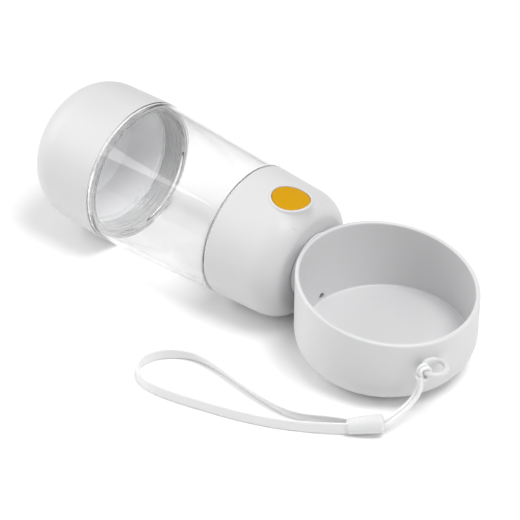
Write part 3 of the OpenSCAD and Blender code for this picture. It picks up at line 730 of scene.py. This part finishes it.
COLLAR_SIDES, COLLAR_FOOT = 160, 20.8
FILLET_WIDE, FILLET_TALL, FILLET_STEPS = 4.5, 4.0, 12
bore, edge = BUTTON_R + BUTTON_ROOM, 0.45
rings = [[] for _ in range(27)]
for k in range(COLLAR_SIDES):
    a = math.tau * k / COLLAR_SIDES
    c, s = math.cos(a), math.sin(a)
    column = [(bore, COLLAR_FOOT), (bore, over(COLLAR_TOP, bore * s) - 1.2)]
    for step in range(5):
        t = math.pi / 2 * step / 4
        r = bore + edge * (1 - math.cos(t))
        column.append((r, over(COLLAR_TOP, r * s) - edge * (1 - math.sin(t))))
    for step in range(6):
        t = math.pi / 2 * step / 5
        r = COLLAR_R - edge * 1.4 * (1 - math.sin(t))
        column.append((r, over(COLLAR_TOP, r * s) - edge * 1.4 * (1 - math.cos(t))))
    # the front of the button's frame is at -x, and there the fillet must end before the end face
    room = 99.0
    if c < 0:
        room = max(0.02, (-BUTTON_S - 0.05) / max(1e-6, -c) - BUTTON_MORE - COLLAR_R)
    wide = 1 / (1 / FILLET_WIDE ** 4 + 1 / room ** 4) ** 0.25
    foot = dome_height(BUTTON_S - (COLLAR_R + BUTTON_MORE + wide * 0.3) * c, COLLAR_R * s)
    tall = min(FILLET_TALL, 0.75 * max(0.02, column[-1][1] - foot))
    for step in range(FILLET_STEPS + 1):
        t = math.pi / 2 * (FILLET_STEPS - step) / FILLET_STEPS
        r = COLLAR_R + wide * (1 - math.sin(t))
        column.append((r, head_top(r, c, s) + tall * (1 - math.cos(t)) + 0.01))
    r = COLLAR_R + wide
    column.append((r, head_top(r, c, s) - 0.6))
    for ring, (r, h) in zip(rings, column):
        ring.append(Vector(((r + BUTTON_MORE) * c, r * s, h)))
collar = finish_piece("head_collar", lofted(rings, closed=True), satin_white_abs, STAND_BUTTON, crease=50)

# %% [markdown]
# ## The button
#
# The button's crown follows the roundness of the bottle across it and is straight along it. Its edge
# has a small radius, and a fine gap shows all round it. Under the crown it is hollow, with a skirt that
# runs in the well and a boss for the valve stem, and the spring goes round the boss with a little room
# over it.

# %% Loft the button
BUTTON_INSET, CROWN_THICK, SKIRT_DEEP, SKIRT_WALL = 0.4, 1.65, 7.2, 1.3
BOSS_R, BUTTON_EDGE, BUTTON_SIDES, BUTTON_TRAVEL = 3.6, 0.4, 128, 3.0
CROWN_TOP = COLLAR_TOP - BUTTON_INSET
CROWN_UNDER = CROWN_TOP - CROWN_THICK
SKIRT_END = CROWN_TOP - SKIRT_DEEP
BUTTON_OVAL = (BUTTON_R + BUTTON_MORE) / BUTTON_R


def button_ring(r, height):
    """An oval ring of points, whose height is a function of the distance to the side."""
    ring = []
    for k in range(BUTTON_SIDES):
        a = math.tau * k / BUTTON_SIDES
        y = r * math.sin(a)
        ring.append(Vector((r * BUTTON_OVAL * math.cos(a), y, height(y))))
    return ring


button_rings = []
for r, level in ((0.15, SKIRT_END), (BOSS_R, SKIRT_END), (BOSS_R, CROWN_UNDER),
                 (BUTTON_R - SKIRT_WALL, CROWN_UNDER), (BUTTON_R - SKIRT_WALL, SKIRT_END),
                 (BUTTON_R, SKIRT_END)):
    button_rings.append(button_ring(r, lambda y: level))
edge_round = [(BUTTON_R - BUTTON_EDGE * (1 - math.cos(math.radians(t))),
               BUTTON_EDGE * (1 - math.sin(math.radians(t)))) for t in range(0, 91, 15)]
crown = [(BUTTON_R, 1.2)] + edge_round + [(6.8, 0), (5.6, 0), (4, 0), (2.4, 0), (1, 0), (0.15, 0)]
for r, drop in crown:
    button_rings.append(button_ring(r, lambda y: over(CROWN_TOP, y) - drop))
button = finish_piece("push_button", lofted(button_rings), amber_button_abs, STAND_BUTTON)

# %% [markdown]
# ## The button's spring
#
# The spring stands on its washer and goes round the button's boss. It is wound here, because it has to
# shorten when the button goes down. Its five turns rise evenly up to the underside of the crown.

# %% Wind the spring
SPRING_FOOT, SPRING_TURNS, SPRING_R, WIRE_R, STEPS_A_TURN = 16.85, 5, 5.1, 0.5, 24
SPRING_HIGH = CROWN_UNDER - SPRING_FOOT - 0.1
spring_steps = SPRING_TURNS * STEPS_A_TURN
spring_line = []
for k in range(spring_steps + 1):
    a = math.tau * k / STEPS_A_TURN
    height = SPRING_FOOT + WIRE_R + (SPRING_HIGH - 2 * WIRE_R) * k / spring_steps
    spring_line.append(Vector((SPRING_R * math.cos(a), SPRING_R * math.sin(a), height)))
spring_mesh = lofted(round_rings(spring_line, WIRE_R))
spring = finish_piece("return_spring", spring_mesh, stainless_steel, STAND_BUTTON)
print("the spring is", round(SPRING_HIGH, 2), "mm high")

# %% [markdown]
# ## The bowl
#
# The bowl is turned with a level rim first. Then its wall is sheared upwards on the bottle's side, more
# and more towards the rim, so the rim comes out slanted while the foot stays flat. The radius follows
# the new height, so the wall keeps its taper.

# %% Turn and shear the bowl
BOWL_CORNER, BOWL_WALL, BOWL_WALL_MORE, FLOOR_Z = 16.0, 2.0, 0.3, 8.5
COVER_R, COVER_THICK = 22.1, 1.6
SHEAR_START, SHEAR_END = 12, 38.4
SLANT = math.tan(math.radians(7.8))


def bowl_r(z):
    """Radius of the bowl's outside at a height, without its rounded corner."""
    return RIM_R + FLARE * (BOWL_HEIGHT - z) / BOWL_HEIGHT


def bowl_in_r(z):
    """Radius of the bowl's inside at a height."""
    return RIM_R - BOWL_WALL - BOWL_WALL_MORE * (BOWL_HEIGHT - z) / (BOWL_HEIGHT - FLOOR_Z)


def bowl_outside_r(z):
    """Radius of the bowl's outside at a height, with its rounded corner."""
    if z >= BOWL_CORNER:
        return bowl_r(z)
    middle = bowl_r(BOWL_CORNER) - BOWL_CORNER
    return middle + math.sqrt(max(0.0, BOWL_CORNER ** 2 - (BOWL_CORNER - z) ** 2))


corner_middle = bowl_r(BOWL_CORNER) - BOWL_CORNER
bowl_profile = rounded([(0, COVER_THICK, 0), (COVER_R, COVER_THICK, 0), (COVER_R, 0, 0.25),
                        (corner_middle, 0, 0)], steps=4)
for t in range(3, 91, 3):
    bowl_profile.append((corner_middle + BOWL_CORNER * math.sin(math.radians(t)),
                         BOWL_CORNER * (1 - math.cos(math.radians(t)))))
bowl_profile += [(bowl_r(z), z) for z in (17, 20, 24, 28, 32, 36, 38)]
bowl_profile += rounded([(bowl_r(SHEAR_END), SHEAR_END, 0), (bowl_r(BOWL_HEIGHT), BOWL_HEIGHT, 0.9),
                         (bowl_in_r(BOWL_HEIGHT), BOWL_HEIGHT, 0.8),
                         (bowl_in_r(SHEAR_END), SHEAR_END, 0)], steps=7, support=0.2)
bowl_profile += [(bowl_in_r(z), z) for z in (38, 36, 32, 28, 24, 20, 16, 12)]
bowl_profile += rounded([(bowl_in_r(10.4), 10.4, 0), (bowl_in_r(FLOOR_Z), FLOOR_Z, 0.9),
                         (35.6, FLOOR_Z, 0)], steps=6, support=0.3)
bowl_profile += [(30, FLOOR_Z), (0, FLOOR_Z)]
bowl_mesh = turned(bowl_profile, steps=192, closed=False)
for vert in bowl_mesh.verts:
    x, y, z = vert.co
    r = math.hypot(x, y)
    if z > SHEAR_START and r > 30:
        share = min(1.0, (z - SHEAR_START) / (SHEAR_END - SHEAR_START))
        new_z = z - SLANT * x * share
        is_outside = r > (bowl_outside_r(z) + bowl_in_r(z)) / 2
        wall_r = bowl_outside_r if is_outside else bowl_in_r
        new_r = r * wall_r(new_z) / wall_r(z)
        vert.co = (x * new_r / r, y * new_r / r, new_z)
bowl = finish_piece("bowl_shell", bowl_mesh, satin_bowl_polypropylene)

# %% Cut the water outlet
OUTLET_R, OUTLET_Y, OUTLET_Z = 1.75, 3.0, 11.3
OUTLET_LAY = Matrix.Translation((0, OUTLET_Y, OUTLET_Z)) @ Matrix.Rotation(math.pi / 2, 4, "Y")
cut(bowl, rod_mesh(OUTLET_R, -43, -33, sides=40), OUTLET_LAY)

# %% [markdown]
# ## Neck, rib and eyelet of the bowl
#
# The neck is a short round boss on the bottle's axis. Its foot spreads onto the bowl's wall in a
# fillet. The rib below it holds the water duct. The eyelet is a level ring. Its bar is half sunk in the
# wall where they meet, and widens there.

# %% Loft the neck
NECK_R, NECK_SIDES, SWIVEL_GAP = 15.5, 144, 0.3


def wall_along_axis(h, y):
    """Where a line along the bottle's axis, h above it and y to its side, meets the bowl's wall."""
    s = 2.0
    for _ in range(12):
        z = AXIS_Z - s * math.sin(LEAN) + h * math.cos(LEAN)
        r = bowl_outside_r(z)
        x = -math.sqrt(max(1.0, r * r - y * y))
        s = (x - FACE_X - h * math.sin(LEAN)) / math.cos(LEAN)
    return s


neck_rings = [[] for _ in range(18)]
for k in range(NECK_SIDES):
    a = math.tau * k / NECK_SIDES
    c, s = math.cos(a), math.sin(a)
    spread = 0.3 + 2.2 * min(1.0, max(0.0, (0.85 - c) / 0.5))
    column = [(SPIGOT_R + 0.5, SWIVEL_GAP), (NECK_R - 1.2, SWIVEL_GAP)]
    for step in range(4):
        t = math.pi / 2 * step / 3
        column.append((NECK_R - 0.3 * (1 - math.sin(t)), SWIVEL_GAP + 0.3 * (1 - math.cos(t))))
    for step in range(11):
        t = math.pi / 2 * (10 - step) / 10
        r = NECK_R + spread * (1 - math.sin(t))
        foot_s = wall_along_axis(r * c, -r * s)
        tall = min(spread, max(0.05, (foot_s - SWIVEL_GAP - 0.4) * 0.8))
        column.append((r, foot_s - tall * (1 - math.cos(t)) - 0.01))
    r = NECK_R + spread
    column.append((r, wall_along_axis(r * c, -r * s) + 0.8))
    for ring, (r, z) in zip(neck_rings, column):
        ring.append(Vector((r * c, r * s, z)))
neck_mesh = lofted(neck_rings, closed=True)
neck = finish_piece("bowl_neck", neck_mesh, satin_bowl_polypropylene, LAY_DOWN, crease=50)

# %% Shape the duct's rib
RIB_R, RIB_FOOT, RIB_TOP, RIB_X = 2.8, 7, 19, -38.5
RIB_INSIDE_X = RIB_X - 0.1
rib_profile = rounded([(0, RIB_FOOT, 0), (RIB_R, RIB_FOOT, 1.2), (RIB_R, RIB_TOP, 0), (0, RIB_TOP, 0)],
                      steps=5)
rib_mesh = turned(rib_profile, steps=48, closed=False)
bmesh.ops.translate(rib_mesh, verts=rib_mesh.verts[:], vec=(RIB_X, OUTLET_Y, 0))
bmesh.ops.bisect_plane(rib_mesh, geom=rib_mesh.verts[:] + rib_mesh.edges[:] + rib_mesh.faces[:],
                       plane_co=(RIB_INSIDE_X, 0, 0), plane_no=(1, 0, 0), clear_outer=True)
bmesh.ops.holes_fill(rib_mesh, edges=[e for e in rib_mesh.edges if e.is_boundary], sides=0)
rib = finish_piece("bowl_duct_rib", rib_mesh, satin_bowl_polypropylene)
cut(rib, rod_mesh(OUTLET_R, -40.7, -33, sides=40), OUTLET_LAY)

# %% Loft the eyelet
EYELET_STEPS, EYELET_SIDES, EYELET_MORE, EYELET_MORE_REACH = 64, 24, 0.45, 1.6
eyelet_rings = []
for k in range(EYELET_STEPS):
    a = math.tau * k / EYELET_STEPS
    across = outward * math.cos(a) + sideways * math.sin(a)
    middle = outward * EYELET_MID + across * EYELET_RING + Vector((0, 0, EYELET_Z))
    depth = middle.xy.length - bowl_r(EYELET_Z)
    bar = EYELET_BAR + EYELET_MORE * max(0.0, 1 - max(0.0, depth) / EYELET_MORE_REACH) ** 2
    ring = []
    for i in range(EYELET_SIDES):
        t = math.tau * i / EYELET_SIDES
        ring.append(middle + (across * math.cos(t) + Vector((0, 0, math.sin(t)))) * bar)
    eyelet_rings.append(ring)
eyelet_mesh = lofted(eyelet_rings, closed=True)
eyelet = finish_piece("bowl_eyelet", eyelet_mesh, satin_bowl_polypropylene, crease=60)

# %% [markdown]
# ## Finishes for the pieces that stay as they are
#
# The valve, its seals, the liner and the other inner pieces are exact in the CAD model, so they keep
# their meshes and only get their materials.

# %% Give the inner pieces their finishes
inner_finishes = {
    natural_valve_polypropylene: ["valve_body", "valve_plug", "valve_stem", "swivel_spigot"],
    white_liner_polypropylene: ["cap_liner"],
    satin_bowl_polypropylene: ["foot_cover", "duct_plug"],
    milky_silicone: ["head_gasket", "cap_gasket", "valve_seal", "stem_o_ring", "spigot_o_ring"],
    stainless_steel: ["spring_washer", "inlet_screen", "body_screws", "swivel_clip"],
}
for finish, names in inner_finishes.items():
    for name in names:
        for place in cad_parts[name].material_slots:
            place.material = finish
        print(name, "is", finish.name)

# %% [markdown]
# ## What moves with what
#
# Each new piece rides on the body of the part that it stands for, so the joints carry it.

# %% Tie the pieces to the frame
for piece, body, node, material_slot in (
    (head, "head", "head_shell", "white_head"),
    (collar, "head", None, "white_head"),
    (button, "button", "button_cap", "amber_button"),
    (spring, "head", "button_spring", "spring_steel"),
    (tank, "tank", "tank", "clear_tank"),
    (cap, "cap", "base_cap", "white_cap"),
    (bowl, "bowl", "bowl", "grey_bowl"),
    (neck, "bowl", None, "grey_bowl"),
    (rib, "bowl", None, "grey_bowl"),
    (eyelet, "bowl", None, "grey_bowl"),
    (strap, "bowl", "lanyard_strap", "cord_fabric"),
    (cords["upper"][0], "bowl", "lanyard_cord_upper", "cord_fabric"),
    (cords["lower"][0], "bowl", "lanyard_cord_lower", "cord_fabric"),
    (hitch, "bowl", "lanyard_hitch", "cord_fabric"),
    (slider, "bowl", "lanyard_slider", "slider_plastic"),
):
    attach(piece, body)
    if node:
        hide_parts(node)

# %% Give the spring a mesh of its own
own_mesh(spring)

for name in ("upper", "lower"):
    cord, line = cords[name]

# %% [markdown]
# ## The studio
#
# A white floor without an edge, a bright even sky, one large soft light from the upper left, a smaller
# one from above and a weak one from the right give the pale picture with soft shadows.

# %% Build the floor and the lights
FLOOR_CLOUD_MM = 1000 / 1.5
white_floor, floor_shader = start_finish("white_studio_floor", {"Roughness": 0.9})
floor_cloud = noise(white_floor, FLOOR_CLOUD_MM, 2.0)
two_tones(white_floor, floor_shader, floor_cloud, (0.97, 0.97, 0.97, 1), (0.95, 0.95, 0.95, 1))

floor_mesh = bmesh.new()
bmesh.ops.create_grid(floor_mesh, x_segments=2, y_segments=2, size=6000)
floor = finish_piece("studio_floor", floor_mesh, white_floor)

world = bpy.data.worlds.new("studio_sky")
bpy.context.scene.world = world
world.use_nodes = True
sky = world.node_tree.nodes["Background"]
sky.inputs["Color"].default_value = (1, 1, 1, 1)
sky.inputs["Strength"].default_value = 0.45


def soft_light(name, place, target, size, watts):
    """A square light, size metres wide, that points at its target."""
    data = bpy.data.lights.new(name, "AREA")
    data.shape = "SQUARE"
    data.size = size
    data.energy = watts
    light = bpy.data.objects.new(name, data)
    bpy.context.collection.objects.link(light)
    light.location = place
    light.rotation_euler = (Vector(target) - Vector(place)).to_track_quat("-Z", "Y").to_euler()


soft_light("key_softbox", (-1.2, -0.55, 0.75), (0.0, 0, 0.03), 1.2, 12.5)
soft_light("top_softbox", (0.36, 0.02, 1.08), (0.05, 0, 0.0), 0.5, 8)
soft_light("fill_softbox", (0.8, 0.1, 0.55), (-0.12, 0, 0.03), 0.4, 1.2)

view = bpy.context.scene.view_settings
view.view_transform = "Standard"
view.look = "None"
view.exposure = 0.0
